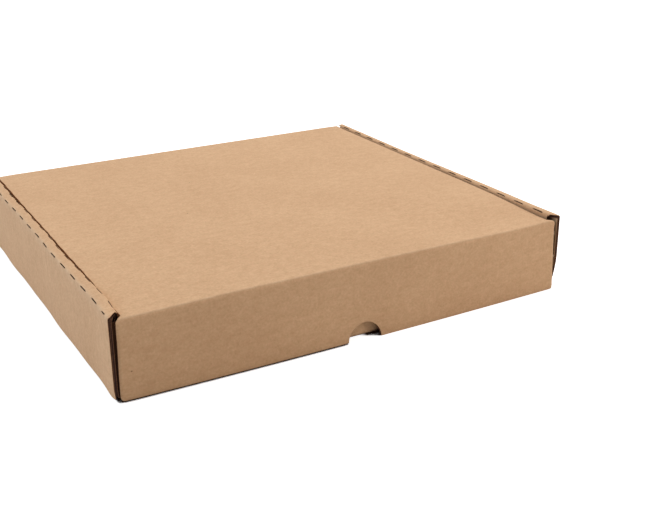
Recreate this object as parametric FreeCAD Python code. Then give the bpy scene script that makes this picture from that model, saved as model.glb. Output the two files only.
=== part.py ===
import FreeCAD, Part
import math
import os

# Folding pizza box of brown corrugated board, closed: one die-cut sheet folded up.
# The tray has roll-over side walls whose folds are perforated, the lid lies between
# the side walls and its wide front flap hangs in front of the tray's front wall.
# Origin: middle of the footprint on the floor. X to the right, Y to the back, Z up.
# Sizes in millimetres.

# Whole box
outer_width = 320.0
outer_depth = 295.0
outer_height = 54.0
board = 2.5

# Folds
base_fold_radius = 3.0
wall_fold_radius = 1.5
lid_fold_radius = 1.2
corner_fold_radius = 2.0
inner_fold_radius = 0.4

# Roll-over side walls; the top strip falls a little from its inner to its outer fold
strip_width = 8.0
strip_fall = 0.8
strip_front_slant = 5.0
strip_back_slant = 2.5
side_wall_floor_gap = 0.4
end_corner_cut = 3.5

# Perforations along both folds of each side wall, the two rows half a step apart
slit_length = 10.0
slit_pitch = 20.0
outer_slit_opening = 0.7
inner_slit_opening = 1.5
outer_slit_count = 15

# Lock tabs at the foot of the inner side panels, placed from the side wall's middle
tab_length = 34.0
tab_positions = (-115.0, 0.0, 115.0)
tab_taper = 3.0
tab_recess = 0.3
slot_clearance = 0.3

# Tray walls
back_wall_recess = 2.5
flap_to_wall_gap = 0.5

# Ears folded back from the front and back walls into the side walls
ear_length = 62.0
ear_taper = 14.0
ear_clearance = 0.25

# Lid and front flap; the flap hangs with its foot a little further out than its fold
lid_recess = 1.0
lid_side_gap = 0.8
lid_rest_gap = 0.3
flap_lean = 3.0
flap_side_gap = 2.0
flap_floor_gap = 0.8
flap_shoulder = 4.0
flap_shoulder_radius = 2.0
flap_corner_radius = 2.5

# Thumb notch in the flap's lower edge
notch_radius = 12.0
notch_offset = 2.2

# Derived positions
half_width = outer_width / 2.0
front_face = -outer_depth / 2.0
crease_face = front_face + flap_lean
back_end = outer_depth / 2.0
side_middle = (crease_face + back_end) / 2.0
back_face = back_end - back_wall_recess
back_inner = back_face - board
wall_face = crease_face + board + flap_to_wall_gap
wall_inner = wall_face + board
side_inner = half_width - board
strip_inner = half_width - strip_width
panel_outer = strip_inner + board
outer_fold_top = outer_height - strip_fall
strip_slope = strip_fall / strip_width
under_outer = outer_fold_top + strip_slope * board - board
under_inner = outer_height - strip_slope * board - board
ear_outer = side_inner - ear_clearance
ear_inner = ear_outer - board
lid_top = outer_height - lid_recess
lid_under = lid_top - board
wall_top = lid_under - lid_rest_gap
half_lid = strip_inner - lid_side_gap
half_flap = side_inner - flap_side_gap
flap_slope = flap_lean / (lid_top - flap_floor_gap)
flap_depth = board * math.hypot(1.0, flap_slope)
crease_inner = crease_face + flap_depth - flap_slope * board
mitre_slope = (crease_inner - crease_face) / board
wall_corner = ear_outer - corner_fold_radius


# Corner list (u, v, radius) to a closed wire; place puts each (u, v) in space
def rounded_wire(corners, place):
    arcs = []
    count = len(corners)
    for i in range(count):
        u, v, radius = corners[i]
        before = corners[i - 1]
        after = corners[(i + 1) % count]
        in_u, in_v = unit(before[0] - u, before[1] - v)
        out_u, out_v = unit(after[0] - u, after[1] - v)
        if radius <= 0.0:
            arcs.append([place(u, v)])
            continue
        half_angle = math.acos(in_u * out_u + in_v * out_v) / 2.0
        reach = radius / math.tan(half_angle)
        depth = radius / math.sin(half_angle) - radius
        mid_u, mid_v = unit(in_u + out_u, in_v + out_v)
        start = place(u + in_u * reach, v + in_v * reach)
        middle = place(u + mid_u * depth, v + mid_v * depth)
        end = place(u + out_u * reach, v + out_v * reach)
        arcs.append([start, middle, end])
    edges = []
    for i in range(count):
        if len(arcs[i]) == 3:
            edges.append(Part.Arc(*arcs[i]).toShape())
        following = arcs[(i + 1) % count]
        edges.append(Part.LineSegment(arcs[i][-1], following[0]).toShape())
    return Part.Wire(edges)


def unit(u, v):
    length = math.hypot(u, v)
    return u / length, v / length


# Prisms from a corner list, along each axis between two positions
def prism_along_x(corners, low, high):
    wire = rounded_wire(corners, lambda u, v: FreeCAD.Vector(low, u, v))
    return Part.Face(wire).extrude(FreeCAD.Vector(high - low, 0, 0))


def prism_along_y(corners, low, high):
    wire = rounded_wire(corners, lambda u, v: FreeCAD.Vector(u, low, v))
    return Part.Face(wire).extrude(FreeCAD.Vector(0, high - low, 0))


def prism_along_z(corners, low, high):
    wire = rounded_wire(corners, lambda u, v: FreeCAD.Vector(u, v, low))
    return Part.Face(wire).extrude(FreeCAD.Vector(0, 0, high - low))


def block(low, high):
    size = [high[i] - low[i] for i in range(3)]
    return Part.makeBox(size[0], size[1], size[2], FreeCAD.Vector(*low))


def mirrored(shape):
    return shape.mirror(FreeCAD.Vector(0, 0, 0), FreeCAD.Vector(1, 0, 0))


# Bottom with both side walls: outer panel, top strip and inner panel of one sheet
def side_profile():
    right = [
        (half_width, 0.0, base_fold_radius),
        (half_width, outer_fold_top, wall_fold_radius),
        (strip_inner, outer_height, wall_fold_radius),
        (strip_inner, board + tab_recess, 0.0),
        (panel_outer, board + tab_recess, 0.0),
        (panel_outer, under_inner, inner_fold_radius),
        (side_inner, under_outer, inner_fold_radius),
        (side_inner, board, inner_fold_radius),
    ]
    left = [(-x, z, radius) for x, z, radius in reversed(right)]
    return right + left


def floor_and_sides():
    front = wall_face + base_fold_radius
    back = back_face - base_fold_radius
    return prism_along_y(side_profile(), front, back)


# Ends of a side wall past the inner panel: outer panel and strip, strip cut on a slant.
# The front ends are flush with the lid's front fold.
def side_wall_ends():
    hook = [
        (half_width, side_wall_floor_gap, 0.0),
        (half_width, outer_fold_top, wall_fold_radius),
        (strip_inner, outer_height, 0.0),
        (strip_inner, outer_height - board, 0.0),
        (side_inner, under_outer, inner_fold_radius),
        (side_inner, side_wall_floor_gap, 0.0),
    ]
    front_end = prism_along_y(hook, crease_face, wall_face + base_fold_radius)
    back_piece = prism_along_y(hook, back_face - base_fold_radius, back_end)
    front_cut = [
        (half_width, crease_face, 0.0),
        (strip_inner, crease_face + strip_front_slant, 0.0),
        (strip_inner - 1.0, crease_face + strip_front_slant, 0.0),
        (strip_inner - 1.0, crease_face - 1.0, 0.0),
        (half_width, crease_face - 1.0, 0.0),
    ]
    back_cut = [
        (half_width, back_end, 0.0),
        (half_width, back_end + 1.0, 0.0),
        (strip_inner - 1.0, back_end + 1.0, 0.0),
        (strip_inner - 1.0, back_end - strip_back_slant, 0.0),
        (strip_inner, back_end - strip_back_slant, 0.0),
    ]
    low = under_outer - 0.5
    high = outer_height + 1.0
    front_end = front_end.cut(limited(prism_along_z(front_cut, low, high)))
    back_piece = back_piece.cut(limited(prism_along_z(back_cut, low, high)))
    front_end = front_end.cut(lower_corner(crease_face, -1.0))
    back_piece = back_piece.cut(lower_corner(back_end, 1.0))
    return front_end.fuse(back_piece)


# Cutter for the lower corner of an outer panel's end
def lower_corner(end, outward):
    inset = end - outward * end_corner_cut
    low = side_wall_floor_gap
    corners = [
        (inset, low - 1.0, 0.0),
        (inset, low, 0.0),
        (end, low + end_corner_cut, 0.0),
        (end + outward, low + end_corner_cut, 0.0),
        (end + outward, low - 1.0, 0.0),
    ]
    return prism_along_x(corners, side_inner - 1.0, half_width + 1.0)


# The slanted cut leaves the outer panel whole
def limited(cutter):
    low = (strip_inner - 2.0, crease_face - 2.0, under_outer - 1.0)
    high = (side_inner, back_end + 2.0, outer_height + 2.0)
    return cutter.common(block(low, high))


# Front and back walls, each a strip with an ear folded back at both ends
def wall_with_ears(face, inward):
    inner = face + inward * board
    tip = inner + inward * ear_length
    right = [
        (ear_outer, tip, 0.0),
        (ear_outer, face, corner_fold_radius),
    ]
    left = [
        (-ear_outer, face, corner_fold_radius),
        (-ear_outer, tip, 0.0),
        (-ear_inner, tip, 0.0),
        (-ear_inner, inner, inner_fold_radius),
        (ear_inner, inner, inner_fold_radius),
        (ear_inner, tip, 0.0),
    ]
    wall = prism_along_z(right + left, base_fold_radius, wall_top)
    return wall.common(ear_outline(face, inward))


# Side view of wall and ear: the ear narrows towards its rounded tip
def ear_outline(face, inward):
    inner = face + inward * board
    tip = inner + inward * ear_length
    shoulder = inner + inward * ear_taper
    corners = [
        (face, 0.0, 0.0),
        (shoulder, base_fold_radius + tab_recess, 0.0),
        (tip, base_fold_radius + ear_taper, 6.0),
        (tip, wall_top - ear_taper, 6.0),
        (shoulder, wall_top, 0.0),
        (face, wall_top, 0.0),
    ]
    return prism_along_x(corners, -half_width, half_width)


# Bottom with the foot of the front wall and the back wall up to its top fold
def front_and_back():
    corners = [
        (wall_face, wall_top, 0.0),
        (wall_face, 0.0, base_fold_radius),
        (back_face, 0.0, base_fold_radius),
        (back_face, lid_top, lid_fold_radius),
        (back_face - 20.0, lid_top, 0.0),
        (back_face - 20.0, lid_under, 0.0),
        (back_inner, lid_under, 0.0),
        (back_inner, board, inner_fold_radius),
        (wall_inner, board, inner_fold_radius),
        (wall_inner, wall_top, 0.0),
    ]
    sheet = prism_along_x(corners, -wall_corner, wall_corner)
    sheet = sheet.cut(lid_side_of_back_fold())
    for side in (-1.0, 1.0):
        edges = sorted((side * half_lid, side * (half_width + 1.0)))
        low = (edges[0], back_inner - 1.0, wall_top)
        high = (edges[1], back_end + 1.0, outer_height + 1.0)
        sheet = sheet.cut(block(low, high))
    return sheet


# The sheet parts at its two lid folds along the planes through their outer and inner corners
def lid_side_of_back_fold():
    corners = [
        (back_inner - 40.0, lid_under - 40.0, 0.0),
        (back_face + 10.0, lid_top + 10.0, 0.0),
        (back_inner - 40.0, lid_top + 10.0, 0.0),
    ]
    return prism_along_x(corners, -half_width, half_width)


def lid_side_of_both_folds():
    reach = 20.0
    corners = [
        (back_inner - reach, lid_under - reach, 0.0),
        (back_face + 10.0, lid_top + 10.0, 0.0),
        (crease_face - 10.0 * mitre_slope, lid_top + 10.0, 0.0),
        (crease_inner + reach * mitre_slope, lid_under - reach, 0.0),
    ]
    return prism_along_x(corners, -half_width, half_width)


# Perforations: a row of thin cuts through a fold, each in the plane that halves the fold
def slit_row(fold, toward, count, opening):
    row = []
    reach = board * math.sqrt(2.0) + 0.4
    first = side_middle - (count - 1) * slit_pitch / 2.0
    for i in range(count):
        slit = Part.makeBox(
            2.0 * reach,
            slit_length,
            opening,
            FreeCAD.Vector(-reach, -slit_length / 2.0, -opening / 2.0),
        )
        slit.rotate(FreeCAD.Vector(0, 0, 0), FreeCAD.Vector(0, 1, 0), 45.0 * toward)
        slit.translate(FreeCAD.Vector(fold[0], first + i * slit_pitch, fold[1]))
        row.append(slit)
    return row


def side_wall_slits():
    outer_fold = (half_width, outer_fold_top)
    inner_fold = (strip_inner, outer_height)
    slits = slit_row(outer_fold, -1.0, outer_slit_count, outer_slit_opening)
    slits += slit_row(inner_fold, 1.0, outer_slit_count - 1, inner_slit_opening)
    slits += [mirrored(slit) for slit in slits]
    return Part.makeCompound(slits)


# Lock tabs pass through slots in the bottom and end just above its underside
def tabs_and_slots():
    tabs = []
    slots = []
    for position in tab_positions:
        middle = side_middle + position
        half_tab = tab_length / 2.0
        corners = [
            (middle - half_tab, board + 2.0, 0.0),
            (middle + half_tab, board + 2.0, 0.0),
            (middle + half_tab, board, 0.0),
            (middle + half_tab - tab_taper, tab_recess, 0.0),
            (middle - half_tab + tab_taper, tab_recess, 0.0),
            (middle - half_tab, board, 0.0),
        ]
        tab = prism_along_x(corners, strip_inner, panel_outer)
        low = (strip_inner - slot_clearance, middle - half_tab - slot_clearance, -1.0)
        high = (panel_outer + slot_clearance, middle + half_tab + slot_clearance, board)
        slot = block(low, high)
        tabs += [tab, mirrored(tab)]
        slots += [slot, mirrored(slot)]
    return tabs, slots


def make_tray():
    tabs, slots = tabs_and_slots()
    bottom = floor_and_sides().fuse(front_and_back())
    bottom = bottom.cut(Part.makeCompound(slots))
    ends = side_wall_ends()
    pieces = [ends, mirrored(ends)]
    pieces.append(wall_with_ears(wall_face, 1.0))
    pieces.append(wall_with_ears(back_face, -1.0))
    pieces += tabs
    tray = bottom.multiFuse(pieces)
    tray = tray.cut(side_wall_slits())
    return tray.removeSplitter()


# Lid and flap are one sheet in side view, parted on the front fold
def cover_sheet():
    tail = back_face - 20.0
    corners = [
        (tail, lid_under - 10.0, 0.0),
        (tail, lid_under, 0.0),
        (crease_inner, lid_under, 0.0),
        (front_face + flap_depth, flap_floor_gap, 0.0),
        (front_face, flap_floor_gap, 0.0),
        (crease_face, lid_top, lid_fold_radius),
        (back_face, lid_top, lid_fold_radius),
        (back_face, lid_under - 10.0, 0.0),
    ]
    return prism_along_x(corners, -half_flap, half_flap)


def make_lid():
    lid = cover_sheet().common(lid_side_of_both_folds())
    low = (-half_lid, front_face - 1.0, lid_under)
    high = (half_lid, back_end, outer_height)
    return lid.common(block(low, high)).removeSplitter()


# Front view of the flap: slanted shoulders, rounded lower corners, half-round notch
def flap_outline():
    corners = [
        (-half_lid, lid_top, 0.0),
        (-half_flap, lid_top - flap_shoulder, flap_shoulder_radius),
        (-half_flap, flap_floor_gap, flap_corner_radius),
        (half_flap, flap_floor_gap, flap_corner_radius),
        (half_flap, lid_top - flap_shoulder, flap_shoulder_radius),
        (half_lid, lid_top, 0.0),
    ]
    outline = prism_along_y(corners, front_face - 1.0, crease_face + board + 1.0)
    notch = Part.makeCylinder(
        notch_radius,
        board + flap_lean + 4.0,
        FreeCAD.Vector(notch_offset, front_face - 2.0, 0.0),
        FreeCAD.Vector(0, 1, 0),
    )
    return outline.cut(notch)


def make_flap():
    low = (-half_width, front_face - 1.0, -1.0)
    high = (half_width, crease_face + board + 1.0, outer_height)
    flap = cover_sheet().cut(lid_side_of_both_folds())
    flap = flap.common(block(low, high))
    return flap.common(flap_outline()).removeSplitter()


os.makedirs("parts", exist_ok=True)
nodes = {
    "tray": make_tray(),
    "lid": make_lid(),
    "front_flap": make_flap(),
}
for name, shape in nodes.items():
    solid = shape.Solids[0] if len(shape.Solids) == 1 else shape
    box = solid.BoundBox
    print(name, "solids", len(shape.Solids), "valid", solid.isValid(), "volume", round(solid.Volume, 1))
    print("  x", round(box.XMin, 2), round(box.XMax, 2), "y", round(box.YMin, 2), round(box.YMax, 2))
    print("  z", round(box.ZMin, 2), round(box.ZMax, 2))
    solid.exportStep(os.path.join("parts", name + ".step"))
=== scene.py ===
import math

import bmesh
import bpy
import numpy as np
from mathutils import Matrix, Vector


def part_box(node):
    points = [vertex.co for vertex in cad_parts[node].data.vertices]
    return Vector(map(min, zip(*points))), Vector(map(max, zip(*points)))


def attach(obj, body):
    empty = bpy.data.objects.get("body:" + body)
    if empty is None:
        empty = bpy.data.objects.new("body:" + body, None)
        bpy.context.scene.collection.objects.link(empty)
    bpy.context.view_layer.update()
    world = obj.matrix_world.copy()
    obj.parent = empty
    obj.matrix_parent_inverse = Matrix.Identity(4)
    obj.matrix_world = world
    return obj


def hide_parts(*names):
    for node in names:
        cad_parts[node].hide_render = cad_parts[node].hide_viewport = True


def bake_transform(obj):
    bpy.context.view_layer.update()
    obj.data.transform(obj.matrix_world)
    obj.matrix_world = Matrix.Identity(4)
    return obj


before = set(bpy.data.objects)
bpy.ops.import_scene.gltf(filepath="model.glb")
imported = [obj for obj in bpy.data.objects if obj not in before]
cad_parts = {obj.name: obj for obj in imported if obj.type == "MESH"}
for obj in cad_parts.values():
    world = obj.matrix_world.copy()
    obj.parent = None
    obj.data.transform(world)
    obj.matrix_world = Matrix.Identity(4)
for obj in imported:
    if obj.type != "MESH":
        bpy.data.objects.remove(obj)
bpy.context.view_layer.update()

scene = bpy.context.scene
mm = 0.001  # lengths below are in millimetres and become metres when a mesh is written

# One corrugated board for the whole box
board = {
    "thickness": 2.5,
    "liner": 0.32,
    "openDepth": 2.4,  # how far a cut across the flutes is open between the liners
    "grooveDepth": 1.1,  # the same for a cut along the flutes
    "ledgeDepth": 0.3,
    "edgeSoftness": 0.07,  # cut edges of the liners are pressed in by this share of the thickness
    "nearLip": 0.04,  # how far the liners' inner edges slope into the core, as shares too
    "farLip": 0.02,
    "smoothAngle": 38,
}
t = board["thickness"]

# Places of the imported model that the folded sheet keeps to
trayLow, trayHigh = [[v / mm for v in corner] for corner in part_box("tray")]
lidLow, lidHigh = [[v / mm for v in corner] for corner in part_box("lid")]
flapLow, flapHigh = [[v / mm for v in corner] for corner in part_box("front_flap")]
box = {
    "side": trayHigh[0],
    "creaseFace": trayLow[1],
    "back": trayHigh[1],
    "top": trayHigh[2],
    "stripWidth": 8.0,
    "stripFall": 0.8,
    "backFace": trayHigh[1] - 2.5,
    "wallFace": trayLow[1] + t + 0.5,
    "lidTop": lidHigh[2],
    "lidHalf": lidHigh[0],
    "flapHalf": flapHigh[0],
    "flapFoot": flapLow[2],
    "flapFace": flapLow[1],
}


def unit(v):
    return np.asarray(v, float) / np.linalg.norm(v)


def smoothStep(x, low, high):
    f = np.clip((x - low) / (high - low), 0, 1)
    return f * f * (3 - 2 * f)


def roundedCorner(before, corner, after, radius, steps):
    # points of the arc that rounds one corner of a folded profile
    before, corner, after = (np.array(p[:2], float) for p in (before, corner, after))
    a, b = unit(before - corner), unit(after - corner)
    half = math.acos(float(np.clip(a @ b, -1, 1))) / 2
    centre = corner + unit(a + b) * radius / math.sin(half)
    start = corner + a * radius / math.tan(half) - centre
    end = corner + b * radius / math.tan(half) - centre
    turn = math.copysign(math.pi - 2 * half, start[0] * end[1] - start[1] * end[0])
    arc = []
    for k in range(steps + 1):
        c, s = math.cos(turn * k / steps), math.sin(turn * k / steps)
        arc.append(centre + (start[0] * c - start[1] * s, start[0] * s + start[1] * c))
    return arc


def foldProfile(outer, inner, runs, arcSteps=6):
    # outer and inner faces of a folded sheet as paired points, with the length along the outer one
    out, ins, bends = [np.array(outer[0][:2], float)], [np.array(inner[0][:2], float)], []
    for k in range(1, len(outer)):
        if k < len(outer) - 1:
            arcOut = roundedCorner(outer[k - 1], outer[k], outer[k + 1], outer[k][2], arcSteps)
            arcIn = roundedCorner(inner[k - 1], inner[k], inner[k + 1], inner[k][2], arcSteps)
        else:
            arcOut, arcIn = [np.array(outer[k][:2], float)], [np.array(inner[k][:2], float)]
        fromOut, fromIn = out[-1], ins[-1]
        for step in range(1, runs[k - 1] + 1):
            out.append(fromOut + (arcOut[0] - fromOut) * step / runs[k - 1])
            ins.append(fromIn + (arcIn[0] - fromIn) * step / runs[k - 1])
        if len(arcOut) > 1:
            bends.append(len(out) - 1)
            out += arcOut[1:]
            ins += arcIn[1:]
    out, ins = np.array(out), np.array(ins)
    along = np.concatenate([[0.0], np.cumsum(np.linalg.norm(np.diff(out, axis=0), axis=1))])
    arcs = [(along[b], along[b + arcSteps]) for b in bends]
    return {"out": out, "in": ins, "along": along, "bends": bends, "arcs": arcs, "arcSteps": arcSteps}


def onProfile(profile, s, w):
    # point of the folded sheet at length s and depth w, 0 on the outer face and 1 on the inner
    out, ins, along = profile["out"], profile["in"], profile["along"]
    k = np.interp(s, along, np.arange(len(along)))
    i = np.clip(np.floor(k).astype(int), 0, len(along) - 2)
    f = (k - i)[:, None]
    w = np.asarray(w, float)[:, None]
    point = (out[i] * (1 - f) + out[i + 1] * f) * (1 - w) + (ins[i] * (1 - f) + ins[i + 1] * f) * w
    before, after = np.minimum(s - along[0], 0), np.maximum(s - along[-1], 0)
    return point + before[:, None] * unit(out[1] - out[0]) + after[:, None] * unit(out[-1] - out[-2])


# A sheet is a set of flat cells of the blank, each panel with its own way of folding up.
# blankX runs along the flutes and blankY across them.


def newSheet():
    lists = {key: [] for key in ("blank", "place", "paintedLight", "crush", "cells", "plain")}
    return dict(lists, ids={}, panels=0)


def addPanel(sheet, blankX, blankY, keep, place, plain=None, shared=None, paintedLight=None, crush=None):
    nu, nv = blankX.shape
    used = np.zeros((nu, nv), bool)
    for di in (0, 1):
        for dj in (0, 1):
            used[di : nu - 1 + di, dj : nv - 1 + dj] |= keep
    sheet["panels"] += 1
    number = np.full((nu, nv), -1)
    for i, j in zip(*np.nonzero(used)):
        x, y = float(blankX[i, j]), float(blankY[i, j])
        joined = shared is not None and shared(x, y)
        key = (round(x, 3), round(y, 3), 0 if joined else sheet["panels"])
        if key not in sheet["ids"]:
            sheet["ids"][key] = len(sheet["blank"])
            sheet["blank"].append((x, y))
            sheet["place"].append(place)
            sheet["paintedLight"].append(paintedLight(x, y) if paintedLight else 0.0)
            sheet["crush"].append(crush(x, y) if crush else 0.0)
        number[i, j] = sheet["ids"][key]
    for i, j in zip(*np.nonzero(keep)):
        ring = [number[i, j], number[i + 1, j], number[i + 1, j + 1], number[i, j + 1]]
        sheet["cells"].append([int(v) for v in ring])
        sheet["plain"].append(plain)


def placeAll(sheet, ids, shift, w):
    blank = np.array([sheet["blank"][k] for k in ids]) + shift
    w = np.broadcast_to(np.asarray(w, float), len(ids))
    result = np.zeros((len(ids), 3))
    groups = {}
    for row, k in enumerate(ids):
        groups.setdefault(sheet["place"][k], []).append(row)
    for place, rows in groups.items():
        result[rows] = place(blank[rows, 0], blank[rows, 1], w[rows])
    return result


def findBorders(sheet, blank):
    # directed cut edges with the sheet on their left, and whether they stay plain
    borders = {}
    for ring, plain in zip(sheet["cells"], sheet["plain"]):
        for k in range(len(ring)):
            a, b = ring[k - 1], ring[k]
            if (b, a) in borders:
                del borders[(b, a)]
            else:
                borders[(a, b)] = plain
    result = {}
    for (a, b), plain in borders.items():
        middle = (blank[a] + blank[b]) / 2
        result[(a, b)] = bool(plain and plain(middle[0], middle[1]))
    return result


def closeSheet(sheet, name, finishes):
    # outer and inner faces, and round every cut edge the two liners with the open core between
    blank = np.array(sheet["blank"])
    count = len(blank)
    borders = findBorders(sheet, blank)
    pushes = {}
    for (a, b), isPlain in borders.items():
        if isPlain:
            continue
        d = unit(blank[b] - blank[a])
        across = d[1] ** 2  # 1 where the cut crosses the flutes
        nearDepth = board["grooveDepth"] + (board["openDepth"] - board["grooveDepth"]) * across
        farDepth = board["ledgeDepth"] + (board["openDepth"] - board["ledgeDepth"]) * across
        for v in (a, b):
            pushes.setdefault(v, []).append((np.array([-d[1], d[0]]), nearDepth, farDepth))
    rimIds = sorted(pushes)
    rimRow = {v: row for row, v in enumerate(rimIds)}
    nearShift, farShift = np.zeros((len(rimIds), 2)), np.zeros((len(rimIds), 2))
    for v, row in rimRow.items():
        normals = [p[0] for p in pushes[v]]
        spread = max(1 + normals[0] @ normals[1], 0.3) if len(normals) == 2 else 1.0
        nearShift[row] = sum(p[0] * p[1] for p in pushes[v]) / spread
        farShift[row] = sum(p[0] * p[2] for p in pushes[v]) / spread
    liner = board["liner"] / t
    soft = np.zeros(count)
    soft[rimIds] = board["edgeSoftness"]
    pressed = np.maximum(soft, np.array(sheet["crush"]))
    everything = list(range(count))
    flat = np.zeros(2)
    layers = [placeAll(sheet, everything, flat, pressed), placeAll(sheet, everything, flat, 1.0 - soft)]
    lip = pressed[rimIds] + liner
    nearLip, farLip = lip + board["nearLip"], 1 - liner - board["farLip"]
    rims = ((flat, lip), (nearShift, nearLip), (farShift, 1 - liner), (flat, farLip))
    for shift, w in rims:
        layers.append(placeAll(sheet, rimIds, shift, w))
    points = np.concatenate(layers)

    def chain(v):
        if v in rimRow:
            return [v] + [2 * count + level * len(rimIds) + rimRow[v] for level in range(4)] + [count + v]
        return [v, count + v]

    faces, kinds = [], []
    for ring in sheet["cells"]:
        faces += [list(ring), [count + v for v in reversed(ring)]]
        kinds += [0, 1]
    for (a, b), isPlain in borders.items():
        ca, cb = chain(a), chain(b)
        if isPlain:
            faces.append(cb[::-1] + ca)
            kinds.append(2)
            continue
        for level, kind in enumerate((2, 2, 3, 2, 2)):
            faces.append([cb[level], ca[level], ca[level + 1], cb[level + 1]])
            kinds.append(kind)
    sheet["rims"] = [edge for edge, isPlain in borders.items() if not isPlain]
    sheet["nearShift"] = {v: nearShift[row] for v, row in rimRow.items()}
    rimBlank, rimPaintedLight = [blank[rimIds]] * 4, [np.array(sheet["paintedLight"])[rimIds]] * 4
    return makeMesh(
        name,
        points * mm,
        faces,
        kinds,
        finishes,
        np.concatenate([blank, blank] + rimBlank) * mm,
        np.concatenate([sheet["paintedLight"], sheet["paintedLight"]] + rimPaintedLight),
    )


def makeMesh(name, points, faces, kinds, finishes, blank, paintedLight):
    mesh = bpy.data.meshes.new(name)
    mesh.from_pydata(points.tolist(), [], faces)
    uv = mesh.uv_layers.new(name="blank")
    corners = np.zeros(len(mesh.loops), np.int32)
    mesh.loops.foreach_get("vertex_index", corners)
    uv.data.foreach_set("uv", blank[corners].astype(np.float32).ravel())
    # painted light per point: above 0 a painted highlight, below 0 painted shade
    paintedTone = mesh.attributes.new("paintedLight", "FLOAT", "POINT")
    paintedTone.data.foreach_set("value", np.asarray(paintedLight, np.float32))
    mesh.polygons.foreach_set("material_index", np.array(kinds, np.int32))
    for finish in finishes:
        mesh.materials.append(finish)
    tidy = bmesh.new()
    tidy.from_mesh(mesh)
    bmesh.ops.recalc_face_normals(tidy, faces=tidy.faces)
    openEdges = sum(1 for edge in tidy.edges if len(edge.link_faces) != 2)
    tidy.to_mesh(mesh)
    tidy.free()
    mesh.shade_smooth()
    mesh.set_sharp_from_angle(angle=math.radians(board["smoothAngle"]))
    piece = bpy.data.objects.new(name, mesh)
    scene.collection.objects.link(piece)
    print(name, len(mesh.polygons), "faces,", openEdges, "open edges")
    return piece


# Bottom and roll-over side walls

sideWall = {
    "baseRadius": 3.0,
    "topRadius": 1.5,
    "innerFoldRadius": 1.6,
    "baseInner": 0.5,
    "topInner": 0.4,
    "frontSlant": 5.0,
    "backSlant": 2.5,
    "panelFoot": 2.8,
    "endCut": 3.5,
    "rightEndCut": 4.2,  # the right side's front end is cut back further, in a long curve
    "rightEndRise": 22.0,
    "rightEndCurve": 1.3,
    "slitPitch": 20.0,
    "slitLength": 10.0,
    "slitRows": 15,
    "outerSlit": {"left": (2, 4), "right": (1, 4)},  # which steps of the fold's arc are cut away
    "innerSlit": {"left": (1, 3), "right": (1, 3)},
    "slitTip": 0.4,
    "tabs": (-115.0, 0.0, 115.0),
    "tabLength": 34.0,
    "tabTaper": 3.0,
    "tabFoot": 0.3,
    "slotClearance": 0.3,
    "edgeLine": 1.2,
    "slitLines": (-0.5, -0.33, 0.33, 0.5),
    # painted highlight on the outer folds, then painted shade along the strips' inner folds
    "foldHighlight": 0.7,
    "foldHighlightWidth": 1.6,
    "paintedShade": {"left": 0.1, "right": 0.25},
    "paintedShadeFrom": (-1.5, 1.6),
    "paintedShadeTo": (8.0, 14.0),
}
stripInner = box["side"] - box["stripWidth"]
stripEdge = box["top"] - box["stripFall"]
fallSlope = box["stripFall"] / box["stripWidth"]
sideProfile = foldProfile(
    [
        (0, 0),
        (box["side"], 0, sideWall["baseRadius"]),
        (box["side"], stripEdge, sideWall["topRadius"]),
        (stripInner, box["top"], sideWall["innerFoldRadius"]),
        (stripInner, sideWall["panelFoot"]),
    ],
    [
        (0, t),
        (box["side"] - t, t, sideWall["baseInner"]),
        (box["side"] - t, stripEdge + fallSlope * t - t, sideWall["topInner"]),
        (stripInner + t, box["top"] - fallSlope * t - t, sideWall["topInner"]),
        (stripInner + t, sideWall["panelFoot"]),
    ],
    [1, 9, 3, 9],
)
wallJoint = box["wallFace"] + sideWall["baseRadius"]
backJoint = box["backFace"] - sideWall["baseRadius"]
earSide = box["side"] - t - 0.25
cornerRadius = 2.0
footHalf = earSide - cornerRadius
slotLow = stripInner - sideWall["slotClearance"]
slotHigh = stripInner + t + sideWall["slotClearance"]
bottomLines = [0, 22, 44, 66, 88, 110, 130, slotLow, slotHigh, footHalf]

standing = {
    "wallFrom": (120, 156),
    "wallWave": 0.3,
    "waveFront": (-144, -110),
    "waveBack": (-147, -120),
    "leftLean": 0.55,
    "rightLean": 0.45,
    "footCurl": 1.5,
    "curlRise": 9.0,
    "curlBeyond": 154,
    "curlFront": (-144, -138.6),
    "curlBack": (-147, -142.1),
    "pressedRise": (15, 50),
    "pressedFrom": (-139, -120),
    "pressedEnds": (150, 155.5),
    "leftStripRecess": 0.95,
    "rightStripRecess": 1.25,
    "rightBackDrop": 0.4,
    "rightFrontRise": 0.6,
    "stripRise": (25, 52),
    "leftRecessFrom": (-138, -60),
    "risesTowardsFront": (20, 110),
    "dropsTowardsBack": (-60, 140),
    # how far the lid's front fold lies under its drawn height, from left to right
    "foldAt": (-160, -110, -75, -40, 0, 40, 75, 105, 130, 160),
    "foldDrop": (2.1, 1.45, 1.0, 1.38, 1.38, 1.55, 1.88, 2.4, 2.35, 1.9),
    "foldEase": 14,
}


def frontDrop(x):
    v = standing
    shifted = [np.interp(x + k * v["foldEase"], v["foldAt"], v["foldDrop"]) for k in (-1, -0.4, 0.4, 1)]
    return sum(shifted) / 4


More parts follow.
